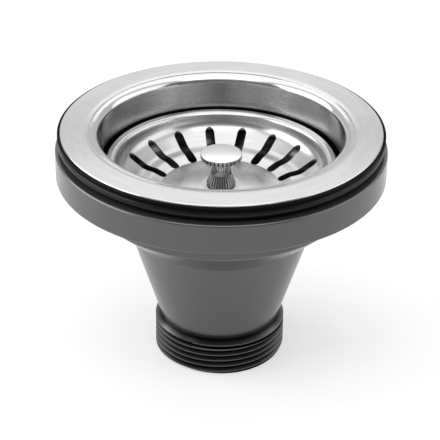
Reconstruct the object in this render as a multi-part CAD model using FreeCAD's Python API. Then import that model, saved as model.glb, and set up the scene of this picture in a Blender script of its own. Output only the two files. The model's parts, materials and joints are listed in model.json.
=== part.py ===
import FreeCAD, Part
import math
import os

# Kitchen sink waste with a lift-out strainer basket.
# Lengths in millimetres, angles in degrees. The outlet's end stands on z = 0 and the axis is +Z.

# Steel bowl and flange
bowl_sheet = 0.7
bowl_mouth_r = 43.5
bowl_draft = 3.2
bowl_corner_round = 6.0
bowl_floor_drop = 1.0
flange_width = 13.5
flange_edge_round = 0.5
bevel_width = 1.5
bevel_drop = 0.2
bevel_round = 4.0
lip_width = 3.4
lip_drop = 0.25
lip_round = 2.8
line_width = 0.5
line_depth = 0.2
sump_r = 20.5
sump_depth = 5.0
sump_draft = 10.0
sump_round = 1.5
drain_hole_r = 3.2
drain_hole_count = 8

# Rubber gaskets on either side of the sink's sheet
gasket_bore_gap = 0.4
upper_gasket_thickness = 1.2
upper_gasket_overhang = 0.95
lower_gasket_thickness = 4.6
lower_gasket_overhang = 0.8
lower_gasket_undercut = 2.4
lower_gasket_taper = 2.4
lower_gasket_round = 1.5
lower_gasket_belly_round = 0.8

# Moulded funnel
outlet_length = 14.25
outlet_wall = 3.021
outlet_chamfer = 0.9
outlet_ledge_drop = 1.45
neck_wall = 2.4
funnel_wall = 2.3
cone_height = 35.85
cone_top_r = 33.1
shoulder_height = 11.7
cup_height = 10.1
cup_wall = 2.5
cup_gap = 0.45
cup_draft = 2.7
cup_round = 1.0
rim_height = 10.85
rim_overhang = 1.9
rim_plate = 3.2
rim_skirt = 2.6
rim_round = 0.8
rim_rib_count = 24
rim_rib_width = 2.0
rim_rib_recess = 1.0

# Outlet thread, 1 1/2 inch parallel pipe thread
thread_r = 23.9
thread_pitch = 2.309
thread_depth = 1.479
thread_flank_angle = 27.5
thread_root_flat = 0.385
thread_relief = 1.3
thread_relief_extra = 0.1
thread_shoulder = 0.35
thread_lead = 1.322

# Hub and arms inside the funnel, with the brass insert
hub_gap = 1.2
hub_wall = 2.5
hub_floor = 1.5
arm_count = 4
arm_width = 3.0
arm_height = 9.0
insert_wall = 2.0
insert_flange_width = 1.3
insert_flange_height = 1.5

# Centre bolt and its sealing washer
bolt_r = 5.0
bolt_reach = 13.0
bolt_head_r = 9.0
bolt_head_height = 2.4
bolt_head_round = 0.6
bolt_slot_width = 2.0
bolt_slot_depth = 1.2
bolt_washer_thickness = 1.4
bolt_washer_overhang = 0.4
bolt_hole_gap = 0.3
screw_gap = 0.05

# Strainer basket
basket_sheet = 0.6
basket_gap = 1.65
basket_drop = 12.5
basket_lip_width = 3.6
basket_lip_drop = 1.9
basket_lip_round = 1.8
basket_curl_round = 0.8
basket_slope_width = 15.58
basket_dome_rise = 1.7
basket_pad_r = 7.0
basket_valley_round = 1.0
basket_heel_round = 5.8
basket_fold_round = 6.0
basket_sweep_round = 8.0
slot_count = 18
slot_width = 3.4
slot_inner_overlap = 0.4
slot_outer_margin = 1.28
slot_turn = 17.35
# Folds of the basket between its lip and the valley round its dome: share of the way in, share of the depth
basket_fold_shares = ((0.015, 0.43), (0.493, 0.838), (0.7375, 0.876))
# Shoulder of the dome: share of the way in from the dome's edge to its pad, share of the rise
dome_shoulder_shares = (0.53, 0.71)

# Rubber stopper, its plate, and the pin with its ring
seat_gap = 0.3
seal_stand = 3.4
seal_centre_thickness = 2.2
seal_top_inset = 1.4
seal_pad_inset = 1.5
seal_top_gap = 0.2
seal_lip_overlap = 3.1
seal_lip_width = 2.0
seal_lip_height = 0.8
seal_web = 2.6
plate_inset = 5.0
plate_thickness = 0.8
collar_r = 4.5
collar_height = 2.2
stud_r = 2.0
stud_reach = 5.5
stud_gap = 0.1
pin_r = 2.7
pin_reach = 12.0
pin_chamfer = 0.5
pin_socket_gap = 0.35
pin_socket_spare = 2.0
ring_r = 0.55
ring_squeeze_gap = 0.05
ring_seat_gap = 0.02
ring_depth = 5.6

# Knob and the washer under it
knob_washer_r = 4.7
knob_washer_thickness = 0.4
knob_washer_round = 0.2
knob_height = 12.15
knob_cap_r = 7.45
knob_cap_thickness = 1.9
knob_cap_edge_round = 0.35
knob_cap_under_round = 0.2
knob_crown = 0.3
# Share of the cap's half width that the arc of its crown takes on either side of its corner
knob_crown_share = 0.85
knob_neck_r = 3.0
knob_neck_drop = 0.4
knob_neck_round = 0.4
knob_waist_r = 3.7
knob_waist_lift = 4.1
knob_waist_round = 12.0
knob_flare_r = 5.3
knob_flare_lift = 0.2
knob_flare_round = 0.15
knob_foot_r = 4.6
flute_count = 30
flute_r = 0.42
flute_depth = 0.25

# One overrun for every cut
overrun = 1.0

# Heights, from the outlet's end upwards
cone_top_z = outlet_length + cone_height
shoulder_top_z = cone_top_z + shoulder_height
rim_bottom_z = shoulder_top_z + cup_height
rim_top_z = rim_bottom_z + rim_height
lower_gasket_top_z = rim_top_z + lower_gasket_thickness
upper_gasket_top_z = lower_gasket_top_z + upper_gasket_thickness
flange_top_z = upper_gasket_top_z + bowl_sheet
seat_z = shoulder_top_z - bowl_floor_drop
sump_floor_z = seat_z - sump_depth
hub_top_z = sump_floor_z - bowl_sheet - hub_gap
bolt_end_z = hub_top_z - bolt_reach
hub_bottom_z = bolt_end_z - hub_floor
bolt_seat_z = sump_floor_z + bolt_washer_thickness
bolt_top_z = bolt_seat_z + bolt_head_height
basket_top_z = flange_top_z - basket_drop
valley_z = seat_z + seat_gap + seal_stand + basket_sheet
pad_z = valley_z + basket_dome_rise
seal_top_z = pad_z - basket_sheet
plate_top_z = seal_top_z - seal_centre_thickness
collar_top_z = plate_top_z - plate_thickness
collar_bottom_z = collar_top_z - collar_height
pin_end_z = bolt_top_z - pin_reach
knob_foot_z = pad_z + knob_washer_thickness
knob_top_z = knob_foot_z + knob_height

# Radii that follow from other pieces
flange_r = bowl_mouth_r + flange_width
mouth_z = flange_top_z - bevel_drop - lip_drop
bowl_slope = math.tan(math.radians(bowl_draft))
bowl_skin = bowl_sheet / math.cos(math.radians(bowl_draft))
rim_r = flange_r + rim_overhang
outlet_bore_r = thread_r - thread_depth - outlet_wall
neck_r = outlet_bore_r + neck_wall
insert_bore_r = bolt_r + screw_gap
insert_r = insert_bore_r + insert_wall
insert_flange_r = insert_r + insert_flange_width
hub_r = insert_flange_r + hub_wall
bolt_hole_r = bolt_r + bolt_hole_gap
pin_socket_r = pin_r + pin_socket_gap
stud_hole_r = stud_r + stud_gap
gasket_bore_r = bowl_mouth_r + lip_width + bevel_width + gasket_bore_gap


def bowl_inside_r(height):
    """Radius of the bowl's inner wall at a height."""
    return bowl_mouth_r - bowl_slope * (mouth_z - height)


basket_r = bowl_inside_r(basket_top_z) - basket_gap
basket_slope_r = basket_r - basket_lip_width
basket_dome_r = basket_slope_r - basket_slope_width
seal_top_r = basket_dome_r - seal_top_inset
seal_web_r = seal_top_r - seal_web
seal_lip_r = sump_r + seal_lip_overlap
cup_mouth_r = bowl_inside_r(rim_top_z) + bowl_skin + cup_gap
cup_bore_r = cup_mouth_r - math.tan(math.radians(cup_draft)) * (rim_height + cup_height)
cup_r = cup_bore_r + cup_wall


def at(radius, height):
    """Point of an outline in the upright plane through the axis."""
    return FreeCAD.Vector(radius, 0, height)


def corner_stops(before, corner, after, radius):
    """Start, middle and end of the arc that rounds a corner; all three are the corner if it is sharp."""
    if radius <= 0:
        return corner, corner, corner
    back = (before - corner).normalize()
    ahead = (after - corner).normalize()
    half_angle = back.getAngle(ahead) / 2
    reach = radius / math.tan(half_angle)
    inward = (back + ahead).normalize()
    middle = corner + inward * (radius / math.sin(half_angle) - radius)
    return corner + back * reach, middle, corner + ahead * reach


def turned(corners, radii=None):
    """Solid turned about the axis from a closed outline, each corner rounded by its own radius."""
    count = len(corners)
    radii = radii or [0] * count
    stops = []
    for index, corner in enumerate(corners):
        after = corners[(index + 1) % count]
        stops.append(corner_stops(corners[index - 1], corner, after, radii[index]))
    edges = []
    for index, (first, middle, last) in enumerate(stops):
        if radii[index] > 0:
            edges.append(Part.Arc(first, middle, last).toShape())
        edges.append(Part.makeLine(last, stops[(index + 1) % count][0]))
    face = Part.Face(Part.Wire(edges))
    return face.revolve(at(0, 0), FreeCAD.Vector(0, 0, 1), 360)


def left_of(start, end):
    """Unit vector to the left of a line of an outline, seen with the radius to the right."""
    along = (end - start).normalize()
    return FreeCAD.Vector(-along.z, 0, along.x)


def shifted_left(corners, distance):
    """Corners of the same chain of lines moved to its left by a distance."""
    sides = [left_of(start, end) for start, end in zip(corners, corners[1:])]
    moved = [corners[0] + sides[0] * distance]
    for corner, side, following in zip(corners[1:], sides, sides[1:]):
        moved.append(corner + (side + following) * (distance / (1 + side.dot(following))))
    moved.append(corners[-1] + sides[-1] * distance)
    return moved


def pressed_sheet(corners, radii, thickness, edge_round=0):
    """Turned sheet metal: a chain of lines with rounded corners and first edge, its other skin to the left."""
    other_radii = []
    for before, corner, after, radius in zip(corners, corners[1:], corners[2:], radii):
        turn = left_of(before, corner).dot(after - corner)
        other_radii.append(radius - math.copysign(thickness, turn))
    skin = [edge_round] + list(radii) + [0]
    other_skin = [0] + other_radii[::-1] + [0]
    other_corners = shifted_left(corners, thickness)[::-1]
    return turned(list(corners) + other_corners, skin + other_skin)


def cylinder(radius, bottom, top):
    """Upright cylinder on the axis."""
    return Part.makeCylinder(radius, top - bottom, at(0, bottom))


def ring(inner_r, outer_r, bottom, top):
    """Plain ring with a square section."""
    return turned([at(inner_r, bottom), at(outer_r, bottom), at(outer_r, top), at(inner_r, top)])


def around(shape, count, start=0):
    """Equally spaced copies of a shape round the axis."""
    copies = []
    for index in range(count):
        copy = shape.copy()
        copy.rotate(at(0, 0), FreeCAD.Vector(0, 0, 1), start + index * 360 / count)
        copies.append(copy)
    return Part.makeCompound(copies)


def flange_bowl():
    """Flange, lip, wall, floor and sump pressed from one sheet, with drain holes in the sump."""
    bevel_r = bowl_mouth_r + lip_width
    sump_foot_r = sump_r - math.tan(math.radians(sump_draft)) * sump_depth
    corners = [
        at(flange_r, flange_top_z),
        at(bevel_r + bevel_width, flange_top_z),
        at(bevel_r, flange_top_z - bevel_drop),
        at(bowl_mouth_r, mouth_z),
        at(bowl_inside_r(seat_z), seat_z),
        at(sump_r, seat_z),
        at(sump_foot_r, sump_floor_z),
        at(bolt_hole_r, sump_floor_z),
    ]
    radii = [bevel_round, bevel_round, lip_round, bowl_corner_round, sump_round, sump_round]
    bowl = pressed_sheet(corners, radii, bowl_sheet, flange_edge_round)
    line_z = flange_top_z - bevel_drop - line_depth
    line = ring(bevel_r - line_width, bevel_r, line_z, flange_top_z)
    hole_circle_r = (bolt_head_r + sump_foot_r) / 2
    hole_bottom = at(hole_circle_r, sump_floor_z - bowl_sheet - overrun)
    hole = Part.makeCylinder(drain_hole_r, bowl_sheet + overrun + overrun, hole_bottom)
    return bowl.cut(line).cut(around(hole, drain_hole_count))


def upper_gasket():
    """Flat rubber ring under the flange."""
    return ring(gasket_bore_r, flange_r + upper_gasket_overhang, lower_gasket_top_z, upper_gasket_top_z)


def lower_gasket():
    """Thick rubber ring on the funnel's rim, with a round belly drawn in towards its foot."""
    belly_r = flange_r + lower_gasket_overhang
    corners = [
        at(gasket_bore_r, rim_top_z),
        at(belly_r - lower_gasket_taper, rim_top_z),
        at(belly_r, rim_top_z + lower_gasket_undercut),
        at(belly_r, lower_gasket_top_z),
        at(gasket_bore_r, lower_gasket_top_z),
    ]
    return turned(corners, [0, 0, lower_gasket_belly_round, lower_gasket_round, 0])


def funnel_outside():
    """Outer form of the funnel as a solid: outlet, cone, shoulder, cup and rim."""
    skirt_r = rim_r - rim_skirt
    plate_z = rim_top_z - rim_plate
    corners = [
        at(0, 0),
        at(thread_r - outlet_chamfer, 0),
        at(thread_r, outlet_chamfer),
        at(thread_r, outlet_length - outlet_ledge_drop),
        at(neck_r, outlet_length),
        at(cone_top_r, cone_top_z),
        at(cup_r, shoulder_top_z),
        at(cup_r, plate_z),
        at(skirt_r, plate_z),
        at(skirt_r, rim_bottom_z),
        at(rim_r, rim_bottom_z),
        at(rim_r, rim_top_z),
        at(0, rim_top_z),
    ]
    radii = [0, 0, 0, 0, 0, cup_round, cup_round, 0, 0, 0, rim_round, rim_round, 0]
    return turned(corners, radii)


def funnel_inside():
    """Space inside the funnel, from the outlet's bore up to the mouth of the cup."""
    outer = [
        at(neck_r, outlet_length),
        at(cone_top_r, cone_top_z),
        at(cup_bore_r + cup_wall, shoulder_top_z),
        at(cup_mouth_r + cup_wall, rim_top_z),
    ]
    inner = shifted_left(outer, funnel_wall)
    corners = [
        at(0, -overrun),
        at(outlet_bore_r, -overrun),
        at(outlet_bore_r, outlet_length),
        inner[1],
        at(cup_bore_r, inner[2].z),
        at(cup_mouth_r, rim_top_z),
        at(cup_mouth_r, rim_top_z + overrun),
        at(0, rim_top_z + overrun),
    ]
    return turned(corners)


def spider():
    """Hub and arms that carry the brass insert across the funnel."""
    arm_reach = cup_r
    arm_corner = FreeCAD.Vector(0, -arm_width / 2, hub_top_z - arm_height)
    arm = Part.makeBox(arm_reach, arm_width, arm_height, arm_corner)
    hub = cylinder(hub_r, hub_bottom_z, hub_top_z)
    return hub.fuse(around(arm, arm_count, 180 / arm_count).Solids)


def thread_groove():
    """Helical groove of the outlet's thread, from below the end up to the relief under its shoulder."""
    root_r = thread_r - thread_depth
    top_z = outlet_length - outlet_ledge_drop - thread_shoulder - thread_relief / 2
    start_z = -thread_lead
    reach = thread_depth + thread_root_flat
    half_root = thread_root_flat / 2
    half_mouth = half_root + reach * math.tan(math.radians(thread_flank_angle))
    corners = [
        at(root_r, start_z - half_root),
        at(root_r + reach, start_z - half_mouth),
        at(root_r + reach, start_z + half_mouth),
        at(root_r, start_z + half_root),
    ]
    helix = Part.makeHelix(thread_pitch, top_z - start_z, root_r)
    helix.translate(at(0, start_z))
    section = Part.makePolygon(corners + corners[:1])
    return Part.Wire(helix.Edges).makePipeShell([section], True, True)


def thread_relief_ring():
    """Ring just below the root where the thread runs out under its shoulder."""
    top = outlet_length - outlet_ledge_drop - thread_shoulder
    root_r = thread_r - thread_depth - thread_relief_extra
    return ring(root_r, thread_r + overrun, top - thread_relief, top)


def rim_ribs():
    """Ribs in the channel under the rim, between the cup and the skirt."""
    inner = cup_r - cup_wall / 2
    length = rim_r - rim_skirt / 2 - inner
    height = rim_height - rim_plate / 2 - rim_rib_recess
    corner = FreeCAD.Vector(inner, -rim_rib_width / 2, rim_bottom_z + rim_rib_recess)
    return around(Part.makeBox(length, rim_rib_width, height, corner), rim_rib_count)


def insert_pocket():
    """Space that the brass insert fills in the hub, open below and above."""
    flange_z = bolt_end_z + insert_flange_height
    pocket = cylinder(insert_r, bolt_end_z, hub_top_z + overrun)
    return pocket.fuse(cylinder(insert_flange_r, hub_bottom_z - overrun, flange_z))


def drain_body():
    """One moulding: rim, cup, cone, threaded outlet and the spider inside."""
    space = funnel_inside().cut(spider())
    body = funnel_outside().fuse(rim_ribs().Solids).cut(space)
    body = body.cut(insert_pocket())
    return body.cut(thread_groove()).cut(thread_relief_ring())


def threaded_insert():
    """Brass insert with a flange below, so that the bolt's pull can't draw it out."""
    body = cylinder(insert_r, bolt_end_z, hub_top_z)
    flange = cylinder(insert_flange_r, bolt_end_z, bolt_end_z + insert_flange_height)
    return body.fuse(flange).cut(cylinder(insert_bore_r, bolt_end_z - overrun, hub_top_z + overrun))


def clamp_bolt():
    """Centre bolt with a slotted head and a blind bore that guides the basket's pin."""
    corners = [
        at(0, bolt_end_z),
        at(bolt_r, bolt_end_z),
        at(bolt_r, bolt_seat_z),
        at(bolt_head_r, bolt_seat_z),
        at(bolt_head_r, bolt_top_z),
        at(0, bolt_top_z),
    ]
    bolt = turned(corners, [0, pin_chamfer, 0, 0, bolt_head_round, 0])
    socket = cylinder(pin_socket_r, pin_end_z - pin_socket_spare, bolt_top_z + overrun)
    slot_across = 2 * (bolt_head_r + overrun)
    slot_corner = FreeCAD.Vector(-slot_across / 2, -bolt_slot_width / 2, bolt_top_z - bolt_slot_depth)
    slot = Part.makeBox(slot_across, bolt_slot_width, bolt_slot_depth + overrun, slot_corner)
    return bolt.cut(socket).cut(slot)


def bolt_washer():
    """Sealing washer between the bolt's head and the sump's floor."""
    return ring(bolt_hole_r, bolt_head_r + bolt_washer_overhang, sump_floor_z, bolt_seat_z)


def basket_slot():
    """Upright cutter for one slot, with round ends."""
    near = basket_dome_r - slot_inner_overlap + slot_width / 2
    far = basket_slope_r - slot_outer_margin - slot_width / 2
    bottom = valley_z - basket_sheet - overrun
    height = basket_top_z - bottom
    middle = Part.makeBox(far - near, slot_width, height, FreeCAD.Vector(near, -slot_width / 2, bottom))
    ends = [Part.makeCylinder(slot_width / 2, height, at(radius, bottom)) for radius in (near, far)]
    return middle.fuse(ends)


def strainer_basket():
    """Pressed basket: turned-over lip, steep side, slotted slope, valley and dome."""
    depth = basket_top_z - valley_z
    folds = []
    for way_in, way_down in basket_fold_shares:
        folds.append(at(basket_slope_r - way_in * basket_slope_width, basket_top_z - way_down * depth))
    way_in, way_up = dome_shoulder_shares
    dome_shoulder_r = basket_pad_r + (basket_dome_r - basket_pad_r) * (1 - way_in)
    corners = [
        at(basket_r, basket_top_z - basket_lip_drop),
        at(basket_r, basket_top_z),
        at(basket_slope_r, basket_top_z),
        *folds,
        at(basket_dome_r, valley_z),
        at(dome_shoulder_r, valley_z + way_up * basket_dome_rise),
        at(basket_pad_r, pad_z),
        at(stud_hole_r, pad_z),
    ]
    fold_rounds = [basket_heel_round] + [basket_fold_round] * (len(folds) - 1)
    radii = [basket_curl_round, basket_lip_round, *fold_rounds]
    radii += [basket_valley_round, basket_sweep_round, basket_sweep_round]
    basket = pressed_sheet(corners, radii, basket_sheet)
    return basket.cut(around(basket_slot(), slot_count, slot_turn))


def stopper_seal():
    """Dished rubber stopper whose lip meets the floor round the sump."""
    lip_bottom_z = seat_z + seat_gap
    inner_lip_r = seal_lip_r - seal_lip_width
    corners = [
        at(stud_hole_r, seal_top_z),
        at(basket_pad_r - seal_pad_inset, seal_top_z),
        at(seal_top_r, valley_z - basket_sheet - seal_top_gap),
        at(seal_lip_r, lip_bottom_z + seal_lip_height),
        at(seal_lip_r, lip_bottom_z),
        at(inner_lip_r, lip_bottom_z),
        at(seal_web_r, plate_top_z),
        at(stud_hole_r, plate_top_z),
    ]
    return turned(corners)


def seal_plate():
    """Flat disc that holds the stopper up against the basket."""
    return ring(stud_hole_r, seal_web_r - plate_inset, collar_top_z, plate_top_z)


def ring_groove_r():
    """Radius at the bottom of the pin's ring groove."""
    return pin_socket_r - ring_squeeze_gap - 2 * ring_r - ring_seat_gap


def stem_pin():
    """Stud into the knob, collar under the plate, and guide pin with a groove for its ring."""
    groove_z = bolt_top_z - ring_depth
    groove_half = ring_r + ring_squeeze_gap
    corners = [
        at(0, pin_end_z),
        at(pin_r - pin_chamfer, pin_end_z),
        at(pin_r, pin_end_z + pin_chamfer),
        at(pin_r, groove_z - groove_half),
        at(ring_groove_r(), groove_z - groove_half),
        at(ring_groove_r(), groove_z + groove_half),
        at(pin_r, groove_z + groove_half),
        at(pin_r, collar_bottom_z),
        at(collar_r, collar_bottom_z),
        at(collar_r, collar_top_z),
        at(stud_r, collar_top_z),
        at(stud_r, knob_foot_z + stud_reach),
        at(0, knob_foot_z + stud_reach),
    ]
    return turned(corners)


def pin_o_ring():
    """Rubber ring in the pin's groove."""
    centre_r = ring_groove_r() + ring_seat_gap + ring_r
    return Part.makeTorus(centre_r, ring_r, at(0, bolt_top_z - ring_depth))


def knob_washer():
    """Bright washer between the knob and the basket."""
    corners = [
        at(stud_hole_r, pad_z),
        at(knob_washer_r, pad_z),
        at(knob_washer_r, knob_foot_z),
        at(stud_hole_r, knob_foot_z),
    ]
    return turned(corners, [0, 0, knob_washer_round, 0])


def knob_flute(waist, flare):
    """Cutter for one flute, lying along the knob's stem from its waist to its flare."""
    along = (flare - waist).normalize()
    outward = FreeCAD.Vector(-along.z, 0, along.x)
    start = waist + outward * (flute_r - flute_depth)
    length = (flare - waist).Length + overrun
    return Part.makeCylinder(flute_r, length, start, along)


def basket_knob():
    """Knob: crowned cap on a waisted stem that flares to a fluted foot, with a blind hole for the stud."""
    cap_edge_z = knob_top_z - knob_crown
    cap_bottom_z = cap_edge_z - knob_cap_thickness
    neck = at(knob_neck_r, cap_bottom_z - knob_neck_drop)
    waist = at(knob_waist_r, knob_foot_z + knob_waist_lift)
    flare = at(knob_flare_r, knob_foot_z + knob_flare_lift)
    crown_corner_r = knob_cap_r / 2
    crown_turn = math.atan2(knob_crown, crown_corner_r)
    crown_round = knob_crown_share * crown_corner_r / math.tan(crown_turn / 2)
    corners = [
        at(0, knob_foot_z),
        at(knob_foot_r, knob_foot_z),
        flare,
        waist,
        neck,
        at(knob_cap_r, cap_bottom_z),
        at(knob_cap_r, cap_edge_z),
        at(crown_corner_r, knob_top_z),
        at(0, knob_top_z),
    ]
    radii = [0, 0, knob_flare_round, knob_waist_round, knob_neck_round, knob_cap_under_round]
    radii += [knob_cap_edge_round, crown_round, 0]
    knob = turned(corners, radii)
    hole_top_z = knob_foot_z + stud_reach + stud_gap
    hole = cylinder(stud_r + screw_gap, knob_foot_z - overrun, hole_top_z)
    return knob.cut(hole).cut(around(knob_flute(waist, flare), flute_count))


def write_parts():
    """Write each piece as a solid in its own file."""
    makers = (
        flange_bowl,
        upper_gasket,
        lower_gasket,
        drain_body,
        threaded_insert,
        clamp_bolt,
        bolt_washer,
        strainer_basket,
        stopper_seal,
        seal_plate,
        stem_pin,
        pin_o_ring,
        knob_washer,
        basket_knob,
    )
    os.makedirs("parts", exist_ok=True)
    for make in makers:
        piece = make()
        piece.exportStep("parts/" + make.__name__ + ".step")
        print(make.__name__, len(piece.Solids), piece.isValid(), round(piece.Volume, 2))


write_parts()
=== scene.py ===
import bmesh
import bpy
import json
import math
from mathutils import Euler, Matrix, Vector


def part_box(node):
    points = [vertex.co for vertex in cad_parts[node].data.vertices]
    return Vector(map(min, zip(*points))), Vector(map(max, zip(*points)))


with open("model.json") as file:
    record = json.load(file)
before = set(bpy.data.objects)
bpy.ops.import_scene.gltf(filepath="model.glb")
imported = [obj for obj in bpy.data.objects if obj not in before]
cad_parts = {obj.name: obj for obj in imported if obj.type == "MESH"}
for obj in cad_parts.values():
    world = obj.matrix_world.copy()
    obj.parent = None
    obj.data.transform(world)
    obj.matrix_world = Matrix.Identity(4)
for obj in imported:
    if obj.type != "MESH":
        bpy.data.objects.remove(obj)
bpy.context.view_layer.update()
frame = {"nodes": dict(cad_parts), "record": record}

# Places on the waste, in metres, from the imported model
millimetre = 0.001
mounts = {row["name"]: row for row in frame["record"]["mounts"]}
outlet_top = mounts["outlet_bore"]["dims"]["length_mm"] * millimetre
thread_r = mounts["outlet_thread"]["dims"]["r_mm"] * millimetre
flange_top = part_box("flange_bowl")[1][2]
basket_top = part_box("strainer_basket")[1][2]
knob_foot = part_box("basket_knob")[0][2]
knob_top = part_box("basket_knob")[1][2]

# Camera, in metres and degrees, with its lens and sensor in millimetres
camera_place = (-0.00022, -0.5381, 0.35675)
camera_pitch = 29.55
camera_roll = 0.62
camera_lens = 139.25
camera_sensor = 36.0
camera_near = 0.01
camera_far = 50.0
tilt_when_level = 90.0

# Stage: floor, surroundings, lamps and the dark flag, in metres, watts and degrees
floor_r = 4.0
floor_segments = 128
floor_white = (0.52, 0.52, 0.52, 1)
floor_glow = 0.53
backdrop_strength = 1.0
fill_strength = 0.36
lamps = {
    "overhead_softbox": {"place": (0, 0.45, 1.15), "aim": (0, 0.45, 0), "size": (1.2, 2.9), "power": 11.5},
    "front_softbox": {"place": (0, -0.7, 1.2), "aim": (0, 0, 0.05), "size": (1.4, 0.5), "power": 3.0},
    "left_softbox": {"place": (-1.3, 0.0, 0.62), "aim": (0, 0, 0.07), "size": (1.6, 1.1), "power": 18.0},
    "right_softbox": {"place": (1.3, 0.0, 0.62), "aim": (0, 0, 0.07), "size": (1.6, 1.1), "power": 6.0},
}
flag_r = 1.3
flag_spread = 110.0
flag_low = 0.02
flag_high = 1.0
flag_steps = 24
flag_grey = (0.2, 0.2, 0.2, 1)

# Marks on the surfaces: their noise, the part of it that shows, the depth of their relief in metres,
# and the turn of the stretched reflections as a share of a full turn
ring_detail = 3.0
ring_unevenness = 0.6
haze_detail = 4.0
haze_unevenness = 0.55
haze_swirl = 0.6
haze_range = (0.38, 0.66)
grain_detail = 3.0
grain_unevenness = 0.5
mottle_range = (0.3, 0.7)
tone_range = (0.35, 0.65)
tone_line_share = 0.6
wear_range = (0.2, 0.8)
wear_line_share = 0.7
ring_relief_depth = 0.00002
grain_relief_depth = 0.00005
quarter_turn = 0.25

# Metals: linear colours, roughness, stretch of the reflections and strength of the relief,
# then lines, bands and patches of haze per metre, and breaks of the lines round the axis
satin_steel = {
    "dark": (0.5, 0.5, 0.495, 1), "light": (0.58, 0.58, 0.575, 1),
    "smooth": 0.24, "rough": 0.36, "stretch": 0.8, "relief": 0.05,
    "lines": 4000.0, "bands": 300.0, "breaks": 3.0, "patches": 45.0,
}
basket_steel = {
    "dark": (0.45, 0.45, 0.445, 1), "light": (0.53, 0.53, 0.525, 1),
    "smooth": 0.25, "rough": 0.28, "stretch": 0.4, "relief": 0.004,
    "lines": 5000.0, "bands": 300.0, "breaks": 3.0, "patches": 45.0,
}
knob_chrome = {
    "dark": (0.62, 0.62, 0.62, 1), "light": (0.68, 0.68, 0.68, 1),
    "smooth": 0.18, "rough": 0.26, "stretch": 0.2, "relief": 0.02,
    "lines": 6000.0, "bands": 300.0, "breaks": 3.0, "patches": 45.0,
}
bolt_steel = {
    "dark": (0.4, 0.4, 0.39, 1), "light": (0.5, 0.5, 0.49, 1),
    "smooth": 0.2, "rough": 0.34, "stretch": 0.5, "relief": 0.2,
    "lines": 2500.0, "bands": 300.0, "breaks": 3.0, "patches": 45.0,
}
insert_brass = {
    "dark": (0.5, 0.33, 0.11, 1), "light": (0.64, 0.45, 0.18, 1),
    "smooth": 0.22, "rough": 0.36, "stretch": 0.5, "relief": 0.2,
    "lines": 2500.0, "bands": 300.0, "breaks": 3.0, "patches": 45.0,
}

# Mouldings: linear colours, roughness, gloss and strength of the relief, then grains and mottles per metre
black_rubber = {
    "dark": (0.002, 0.002, 0.002, 1), "light": (0.004, 0.004, 0.004, 1),
    "smooth": 0.4, "rough": 0.55, "specular": 0.03, "ior": 1.5, "relief": 0.1,
    "grains": 1800.0, "mottles": 120.0,
}
belly_rubber = {**black_rubber, "smooth": 0.3, "rough": 0.4, "specular": 0.2, "relief": 0.05}
grey_plastic = {
    "dark": (0.036, 0.0362, 0.0366, 1), "light": (0.044, 0.0442, 0.0446, 1),
    "smooth": 0.2, "rough": 0.26, "specular": 1.0, "ior": 1.52, "relief": 0.04,
    "grains": 2600.0, "mottles": 120.0,
}

# Bowl, from the top down, in metres: smooth lip, duller wall, painted shade in the gap round the basket
# and on the bowl's floor; the wall's darker grey is painted shade inside the bowl too
lip_depth = 0.0004
lip_rough_share = 0.6
wall_depth = 0.0028
wall_fade = 0.0006
wall_rough_share = 1.45
wall_painted_shade_grey = (0.42, 0.42, 0.415, 1)
gap_depth = 0.0045
gap_fade = 0.0003
gap_painted_shade_black = (0.03, 0.03, 0.03, 1)
bowl_floor_fade = 0.006
bowl_floor_painted_shade = (0.15, 0.15, 0.148, 1)

# Knob, in metres: smooth stem below the cap, greyed with painted shade,
# and painted shade in the bottoms of the flutes of its foot
cap_depth = 0.0006
cap_fade = 0.0003
stem_rough_share = 0.3
stem_painted_shade_grey = (0.36, 0.36, 0.36, 1)
flute_count = 30
flute_height = 0.0058
flute_fade = 0.0012
flute_wave_range = (-0.1, 0.7)
flute_painted_shade_black = (0.03, 0.03, 0.03, 1)

# Funnel, in metres: painted shade, darker down the cone,
# and dark and dull in the bottoms of the grooves outside its outlet
cone_height = 0.036
cone_foot_painted_shade = (0.012, 0.0121, 0.0123, 1)
groove_depth = 0.0016
groove_fade = 0.0013
outlet_skin = 0.0033
outlet_end_clear = 0.0003
groove_edge = 0.0003
groove_painted_shade_black = (0.003, 0.003, 0.003, 1)
groove_painted_shade_share = 0.9


def join(tree, source, target):
    """Link one socket to another."""
    tree.links.new(source, target)


def feed(tree, socket, value):
    """Link a socket into an input, or set a plain value on it."""
    if isinstance(value, bpy.types.NodeSocket):
        join(tree, value, socket)
    else:
        socket.default_value = value


def math_node(tree, operation, first, second):
    """Math node on two inputs, each a socket or a number; gives its output."""
    node = tree.nodes.new("ShaderNodeMath")
    node.operation = operation
    feed(tree, node.inputs[0], first)
    feed(tree, node.inputs[1], second)
    return node.outputs[0]


def product(tree, *masks):
    """Masks multiplied together."""
    result = masks[0]
    for mask in masks[1:]:
        result = math_node(tree, "MULTIPLY", result, mask)
    return result


def weigh(tree, first, second, first_share):
    """Two values added up, the first by its share and the second by the rest."""
    return math_node(tree, "ADD", math_node(tree, "MULTIPLY", first, first_share),
                     math_node(tree, "MULTIPLY", second, 1 - first_share))


def map_range(tree, value, from_low, from_high, to_low, to_high):
    """Value taken from one range into another, held at the ends; gives its output."""
    node = tree.nodes.new("ShaderNodeMapRange")
    join(tree, value, node.inputs["Value"])
    node.inputs["From Min"].default_value = from_low
    node.inputs["From Max"].default_value = from_high
    node.inputs["To Min"].default_value = to_low
    node.inputs["To Max"].default_value = to_high
    return node.outputs["Result"]


def mix_colours(tree, mask, first, second):
    """Colour that goes from the first to the second with a mask; gives its output."""
    node = tree.nodes.new("ShaderNodeMix")
    node.data_type = "RGBA"
    join(tree, mask, node.inputs["Factor"])
    first_socket, second_socket = [socket for socket in node.inputs if socket.type == "RGBA"]
    feed(tree, first_socket, first)
    feed(tree, second_socket, second)
    return [socket for socket in node.outputs if socket.type == "RGBA"][0]


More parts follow.
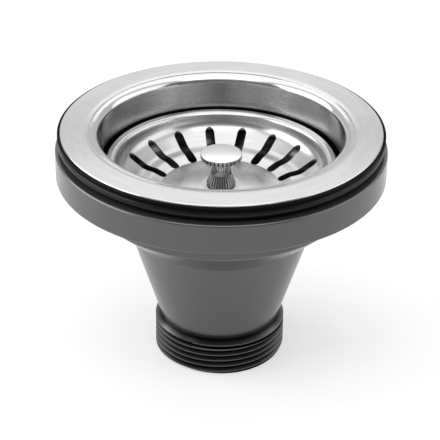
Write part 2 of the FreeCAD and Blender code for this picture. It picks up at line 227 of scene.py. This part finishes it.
def vector_node(tree, operation, vector):
    """Vector math node on one vector; gives the node."""
    node = tree.nodes.new("ShaderNodeVectorMath")
    node.operation = operation
    join(tree, vector, node.inputs[0])
    return node


def object_place(tree):
    """Place on the object, in its own coordinates."""
    return tree.nodes.new("ShaderNodeTexCoord").outputs["Object"]


def object_axes(tree):
    """Place on the object as separate X, Y and Z outputs."""
    split = tree.nodes.new("ShaderNodeSeparateXYZ")
    join(tree, object_place(tree), split.inputs[0])
    return split.outputs


def from_axis(tree):
    """Level vector from the waste's axis to the place on the object."""
    level = vector_node(tree, "MULTIPLY", object_place(tree))
    level.inputs[1].default_value = (1, 1, 0)
    return level.outputs["Vector"]


def axis_distance(tree, level):
    """Length of a level vector from the axis."""
    return vector_node(tree, "LENGTH", level).outputs["Value"]


def noise_node(tree, vector, scale, detail, unevenness):
    """Noise texture on a vector, as fine as a scale says; gives the node."""
    noise = tree.nodes.new("ShaderNodeTexNoise")
    noise.inputs["Detail"].default_value = detail
    noise.inputs["Roughness"].default_value = unevenness
    join(tree, vector, noise.inputs["Vector"])
    join(tree, scale, noise.inputs["Scale"])
    return noise


def new_group(name, inputs, outputs):
    """Shader node group with value inputs and outputs; gives it with its two end nodes."""
    group = bpy.data.node_groups.new(name, "ShaderNodeTree")
    for label in inputs:
        group.interface.new_socket(name=label, in_out="INPUT", socket_type="NodeSocketFloat")
    for label in outputs:
        group.interface.new_socket(name=label, in_out="OUTPUT", socket_type="NodeSocketFloat")
    return group, group.nodes.new("NodeGroupInput"), group.nodes.new("NodeGroupOutput")


def brushed_rings_group():
    """Marks of turning or brushing round the axis: fine lines, and broad lighter and darker bands."""
    group, given, result = new_group(
        "brushed_rings",
        ("Lines Per Metre", "Line Breaks", "Bands Per Metre"),
        ("Lines", "Bands"),
    )
    level = from_axis(group)
    heading = vector_node(group, "NORMALIZE", level).outputs["Vector"]
    across = math_node(group, "ADD", axis_distance(group, level), object_axes(group)["Z"])
    breaks = given.outputs["Line Breaks"]
    for label, density in (("Lines", "Lines Per Metre"), ("Bands", "Bands Per Metre")):
        noise = noise_node(group, heading, breaks, ring_detail, ring_unevenness)
        noise.noise_dimensions = "4D"
        steps = math_node(group, "MULTIPLY", across, given.outputs[density])
        join(group, math_node(group, "DIVIDE", steps, breaks), noise.inputs["W"])
        join(group, noise.outputs["Fac"], result.inputs[label])
    return group


def handling_haze_group():
    """Soft patches left by wiping and handling."""
    group, given, result = new_group("handling_haze", ("Patches Per Metre",), ("Haze",))
    patches = given.outputs["Patches Per Metre"]
    noise = noise_node(group, object_place(group), patches, haze_detail, haze_unevenness)
    noise.inputs["Distortion"].default_value = haze_swirl
    join(group, map_range(group, noise.outputs["Fac"], *haze_range, 0, 1), result.inputs["Haze"])
    return group


def moulded_grain_group():
    """Skin of a moulding: fine grain, and slow mottling of its colour."""
    group, given, result = new_group(
        "moulded_grain",
        ("Grains Per Metre", "Mottles Per Metre"),
        ("Grain", "Mottle"),
    )
    place = object_place(group)
    for label, density in (("Grain", "Grains Per Metre"), ("Mottle", "Mottles Per Metre")):
        noise = noise_node(group, place, given.outputs[density], grain_detail, grain_unevenness)
        join(group, noise.outputs["Fac"], result.inputs[label])
    return group


brushed_rings = brushed_rings_group()
handling_haze = handling_haze_group()
moulded_grain = moulded_grain_group()


def place_group(tree, group, values):
    """Put a group in a material with the material's own values; gives its outputs."""
    node = tree.nodes.new("ShaderNodeGroup")
    node.node_tree = group
    for label, value in values.items():
        node.inputs[label].default_value = value
    return node.outputs


def shader_tree(name):
    """Fresh node material with its output."""
    material = bpy.data.materials.new(name)
    material.use_nodes = True
    tree = material.node_tree
    tree.nodes.clear()
    return material, tree, tree.nodes.new("ShaderNodeOutputMaterial")


def principled(tree, output):
    """Principled shader joined to the material's output."""
    shader = tree.nodes.new("ShaderNodeBsdfPrincipled")
    join(tree, shader.outputs[0], output.inputs["Surface"])
    return shader


def add_relief(tree, shader, height, strength, depth):
    """Bump the surface by a height."""
    bump = tree.nodes.new("ShaderNodeBump")
    bump.inputs["Strength"].default_value = strength
    bump.inputs["Distance"].default_value = depth
    join(tree, height, bump.inputs["Height"])
    join(tree, bump.outputs["Normal"], shader.inputs["Normal"])


def stretch_reflections(tree, shader, amount):
    """Stretch reflections across the rings that run round the axis."""
    tangent = tree.nodes.new("ShaderNodeTangent")
    tangent.direction_type = "RADIAL"
    tangent.axis = "Z"
    join(tree, tangent.outputs[0], shader.inputs["Tangent"])
    shader.inputs["Anisotropic"].default_value = amount
    shader.inputs["Anisotropic Rotation"].default_value = quarter_turn


def ringed_metal(name, finish):
    """Metal with marks of turning or brushing round the axis, and a little haze."""
    material, tree, output = shader_tree(name)
    shader = principled(tree, output)
    shader.inputs["Metallic"].default_value = 1.0
    rings = place_group(tree, brushed_rings, {
        "Lines Per Metre": finish["lines"],
        "Line Breaks": finish["breaks"],
        "Bands Per Metre": finish["bands"],
    })
    haze = place_group(tree, handling_haze, {"Patches Per Metre": finish["patches"]})
    tone = map_range(tree, weigh(tree, rings["Lines"], rings["Bands"], tone_line_share), *tone_range, 0, 1)
    join(tree, mix_colours(tree, tone, finish["dark"], finish["light"]), shader.inputs["Base Color"])
    wear = weigh(tree, rings["Lines"], haze["Haze"], wear_line_share)
    roughness = map_range(tree, wear, *wear_range, finish["smooth"], finish["rough"])
    join(tree, roughness, shader.inputs["Roughness"])
    add_relief(tree, shader, rings["Lines"], finish["relief"], ring_relief_depth)
    stretch_reflections(tree, shader, finish["stretch"])
    return material, tree, shader


def moulding(name, finish):
    """Moulded plastic or rubber with a fine grain and slow mottling."""
    material, tree, output = shader_tree(name)
    shader = principled(tree, output)
    shader.inputs["Specular IOR Level"].default_value = finish["specular"]
    shader.inputs["IOR"].default_value = finish["ior"]
    skin = place_group(tree, moulded_grain, {
        "Grains Per Metre": finish["grains"],
        "Mottles Per Metre": finish["mottles"],
    })
    colour = mix_colours(tree, skin["Mottle"], finish["dark"], finish["light"])
    join(tree, colour, shader.inputs["Base Color"])
    roughness = map_range(tree, skin["Mottle"], *mottle_range, finish["smooth"], finish["rough"])
    join(tree, roughness, shader.inputs["Roughness"])
    add_relief(tree, shader, skin["Grain"], finish["relief"], grain_relief_depth)
    return material, tree, shader


def by_height(tree, bottom, top, low_value, high_value):
    """Value that goes from low to high over a band of heights."""
    return map_range(tree, object_axes(tree)["Z"], bottom, top, low_value, high_value)


def below(tree, bottom, top):
    """Mask that is 1 below a band of heights and 0 above it."""
    return by_height(tree, bottom, top, 1, 0)


def scale_roughness_below(tree, shader, bottom, top, share):
    """Bring the roughness to a share of itself below a band of heights."""
    roughness = shader.inputs["Roughness"]
    before = roughness.links[0].from_socket
    join(tree, math_node(tree, "MULTIPLY", before, by_height(tree, bottom, top, share, 1)), roughness)


def recolour(tree, shader, mask, colour):
    """Bring the finish to another colour where a mask is 1."""
    socket = shader.inputs["Base Color"]
    before = socket.links[0].from_socket
    join(tree, mix_colours(tree, mask, before, colour), socket)


def shade_flutes(tree, shader):
    """Paint shade into the bottoms of the flutes that are spread evenly round the knob's foot."""
    axes = object_axes(tree)
    heading = math_node(tree, "ARCTAN2", axes["Y"], axes["X"])
    wave = math_node(tree, "COSINE", math_node(tree, "MULTIPLY", heading, flute_count), 0)
    deep = map_range(tree, wave, *flute_wave_range, 0, 1)
    flute_top = knob_foot + flute_height
    recolour(tree, shader, product(tree, deep, below(tree, flute_top - flute_fade, flute_top)), flute_painted_shade_black)


def shade_grooves(tree, shader):
    """Paint shade into the bottoms of the outlet's grooves, and take their gloss away through Metallic."""
    radius = axis_distance(tree, from_axis(tree))
    root_r = thread_r - groove_depth
    skin_r = thread_r - outlet_skin
    mask = product(
        tree,
        map_range(tree, radius, root_r, root_r + groove_fade, 1, 0),
        map_range(tree, radius, skin_r, skin_r + groove_edge, 0, 1),
        by_height(tree, outlet_end_clear, outlet_end_clear + groove_edge, 0, 1),
        below(tree, outlet_top, outlet_top + groove_edge),
    )
    recolour(tree, shader, mask, groove_painted_shade_black)
    join(tree, math_node(tree, "MULTIPLY", mask, groove_painted_shade_share), shader.inputs["Metallic"])


def satin_flange_finish():
    """Satin steel of the flange and bowl, brushed in rings, with painted shade inside the bowl."""
    material, tree, shader = ringed_metal("satin_steel", satin_steel)
    scale_roughness_below(tree, shader, flange_top - lip_depth, flange_top, lip_rough_share)
    wall_top = flange_top - wall_depth
    scale_roughness_below(tree, shader, wall_top - wall_fade, wall_top, wall_rough_share)
    # Painted shade: darker grey on the wall, black in the gap round the basket's lip, grey on the bowl's
    # floor
    recolour(tree, shader, below(tree, wall_top - wall_fade, wall_top), wall_painted_shade_grey)
    recolour(tree, shader, below(tree, basket_top, basket_top + gap_fade), gap_painted_shade_black)
    gap_bottom = basket_top - gap_depth
    recolour(tree, shader, below(tree, gap_bottom - bowl_floor_fade, gap_bottom), bowl_floor_painted_shade)
    return material


def pressed_basket_finish():
    """Smooth pressed steel of the basket."""
    return ringed_metal("basket_steel", basket_steel)[0]


def knob_chrome_finish():
    """Bright chrome of the knob and its washer, with painted shade on the stem and in the flutes."""
    material, tree, shader = ringed_metal("knob_chrome", knob_chrome)
    cap_bottom = knob_top - cap_depth
    scale_roughness_below(tree, shader, cap_bottom, cap_bottom + cap_fade, stem_rough_share)
    # Painted shade: the stem under the cap is greyed
    recolour(tree, shader, below(tree, cap_bottom, cap_bottom + cap_fade), stem_painted_shade_grey)
    shade_flutes(tree, shader)
    return material


def turned_bolt_finish():
    """Turned stainless steel of the bolt, the plate and the pin."""
    return ringed_metal("bolt_steel", bolt_steel)[0]


def turned_brass_finish():
    """Turned brass of the insert."""
    return ringed_metal("insert_brass", insert_brass)[0]


def gasket_rubber_finish():
    """Dull black rubber of the upper gasket, the bolt's washer and the seals."""
    return moulding("black_rubber", black_rubber)[0]


def belly_rubber_finish():
    """Smoother black rubber of the lower gasket."""
    return moulding("belly_rubber", belly_rubber)[0]


def funnel_plastic_finish():
    """Grey satin plastic of the funnel, with painted shade down the cone and in the outlet's grooves."""
    material, tree, shader = moulding("grey_plastic", grey_plastic)
    # Painted shade: darker towards the foot of the cone
    recolour(tree, shader, below(tree, outlet_top, outlet_top + cone_height), cone_foot_painted_shade)
    shade_grooves(tree, shader)
    return material


def dress_nodes():
    """Give every node the finish of its slot, and the lower gasket its own."""
    finishes = {
        "satin_steel": satin_flange_finish(),
        "basket_steel": pressed_basket_finish(),
        "knob_chrome": knob_chrome_finish(),
        "bolt_steel": turned_bolt_finish(),
        "insert_brass": turned_brass_finish(),
        "black_rubber": gasket_rubber_finish(),
        "grey_plastic": funnel_plastic_finish(),
    }
    own_finishes = {"lower_gasket": belly_rubber_finish()}
    for row in frame["record"]["subparts"]:
        materials = frame["nodes"][row["node"]].data.materials
        materials.clear()
        materials.append(own_finishes.get(row["node"], finishes[row["material_slot"]]))


def put_in_scene(name, data):
    """Object that holds a mesh, lamp or camera, linked into the scene."""
    item = bpy.data.objects.new(name, data)
    bpy.context.scene.collection.objects.link(item)
    return item


def add_camera():
    """Camera at the photograph's place and angle."""
    data = bpy.data.cameras.new("photo_camera")
    data.lens = camera_lens
    data.sensor_width = camera_sensor
    data.clip_start = camera_near
    data.clip_end = camera_far
    camera = put_in_scene("photo_camera", data)
    camera.location = camera_place
    pitch = Euler((math.radians(tilt_when_level - camera_pitch), 0, 0)).to_matrix()
    roll = Matrix.Rotation(math.radians(camera_roll), 3, "Z")
    camera.rotation_euler = (pitch @ roll).to_euler()
    bpy.context.scene.camera = camera


def seen_by_eye(tree):
    """Value that is 1 for what the camera, a reflection or glass sees, and 0 for other light."""
    path = tree.nodes.new("ShaderNodeLightPath")
    seen = math_node(tree, "MAXIMUM", path.outputs["Is Camera Ray"], path.outputs["Is Glossy Ray"])
    return math_node(tree, "MAXIMUM", seen, path.outputs["Is Transmission Ray"])


def diffuse_paint(tree, colour):
    """Plain matt paint; gives its shader output."""
    paint = tree.nodes.new("ShaderNodeBsdfDiffuse")
    paint.inputs["Color"].default_value = colour
    return paint.outputs[0]


def add_floor():
    """Plain white floor that keeps the soft shadow."""
    mesh = bpy.data.meshes.new("floor")
    disc = bmesh.new()
    bmesh.ops.create_circle(disc, cap_ends=True, segments=floor_segments, radius=floor_r)
    disc.to_mesh(mesh)
    disc.free()
    material, tree, output = shader_tree("white_floor")
    glow = tree.nodes.new("ShaderNodeEmission")
    join(tree, math_node(tree, "MULTIPLY", seen_by_eye(tree), floor_glow), glow.inputs["Strength"])
    both = tree.nodes.new("ShaderNodeAddShader")
    join(tree, diffuse_paint(tree, floor_white), both.inputs[0])
    join(tree, glow.outputs[0], both.inputs[1])
    join(tree, both.outputs[0], output.inputs["Surface"])
    mesh.materials.append(material)
    floor = put_in_scene("floor", mesh)


def add_world():
    """White surroundings for the camera and for reflections, and even light for the rest."""
    world = bpy.data.worlds.new("studio")
    bpy.context.scene.world = world
    world.use_nodes = True
    tree = world.node_tree
    tree.nodes.clear()
    output = tree.nodes.new("ShaderNodeOutputWorld")
    white = tree.nodes.new("ShaderNodeBackground")
    white.inputs["Strength"].default_value = backdrop_strength
    fill = tree.nodes.new("ShaderNodeBackground")
    fill.inputs["Strength"].default_value = fill_strength
    mix = tree.nodes.new("ShaderNodeMixShader")
    join(tree, seen_by_eye(tree), mix.inputs[0])
    join(tree, fill.outputs[0], mix.inputs[1])
    join(tree, white.outputs[0], mix.inputs[2])
    join(tree, mix.outputs[0], output.inputs["Surface"])


def add_flag():
    """Dark curved card on the camera's side, which only reflections see."""
    mesh = bpy.data.meshes.new("dark_flag")
    card = bmesh.new()
    start = Matrix.Rotation(math.radians(-flag_spread / 2), 3, "Z")
    ends = [card.verts.new(start @ Vector((0, -flag_r, height))) for height in (flag_low, flag_high)]
    side = card.edges.new(ends)
    bmesh.ops.spin(card, geom=[*ends, side], cent=(0, 0, 0), axis=(0, 0, 1), dvec=(0, 0, 0),
                   angle=math.radians(flag_spread), steps=flag_steps)
    card.to_mesh(mesh)
    card.free()
    material, tree, output = shader_tree("dark_card")
    join(tree, diffuse_paint(tree, flag_grey), output.inputs["Surface"])
    mesh.materials.append(material)
    flag = put_in_scene("dark_flag", mesh)
    flag.visible_camera = False
    flag.visible_diffuse = False
    flag.visible_shadow = False


def add_lamp(name, place, aim, size, power):
    """Rectangular soft lamp turned towards a point."""
    data = bpy.data.lights.new(name, "AREA")
    data.shape = "RECTANGLE"
    data.size, data.size_y = size
    data.energy = power
    lamp = put_in_scene(name, data)
    lamp.location = place
    lamp.rotation_euler = (Vector(aim) - Vector(place)).to_track_quat("-Z", "Y").to_euler()


dress_nodes()
add_camera()
add_floor()
add_world()
add_flag()
for lamp_name, lamp in lamps.items():
    add_lamp(lamp_name, **lamp)
bpy.context.scene.view_settings.view_transform = "Standard"
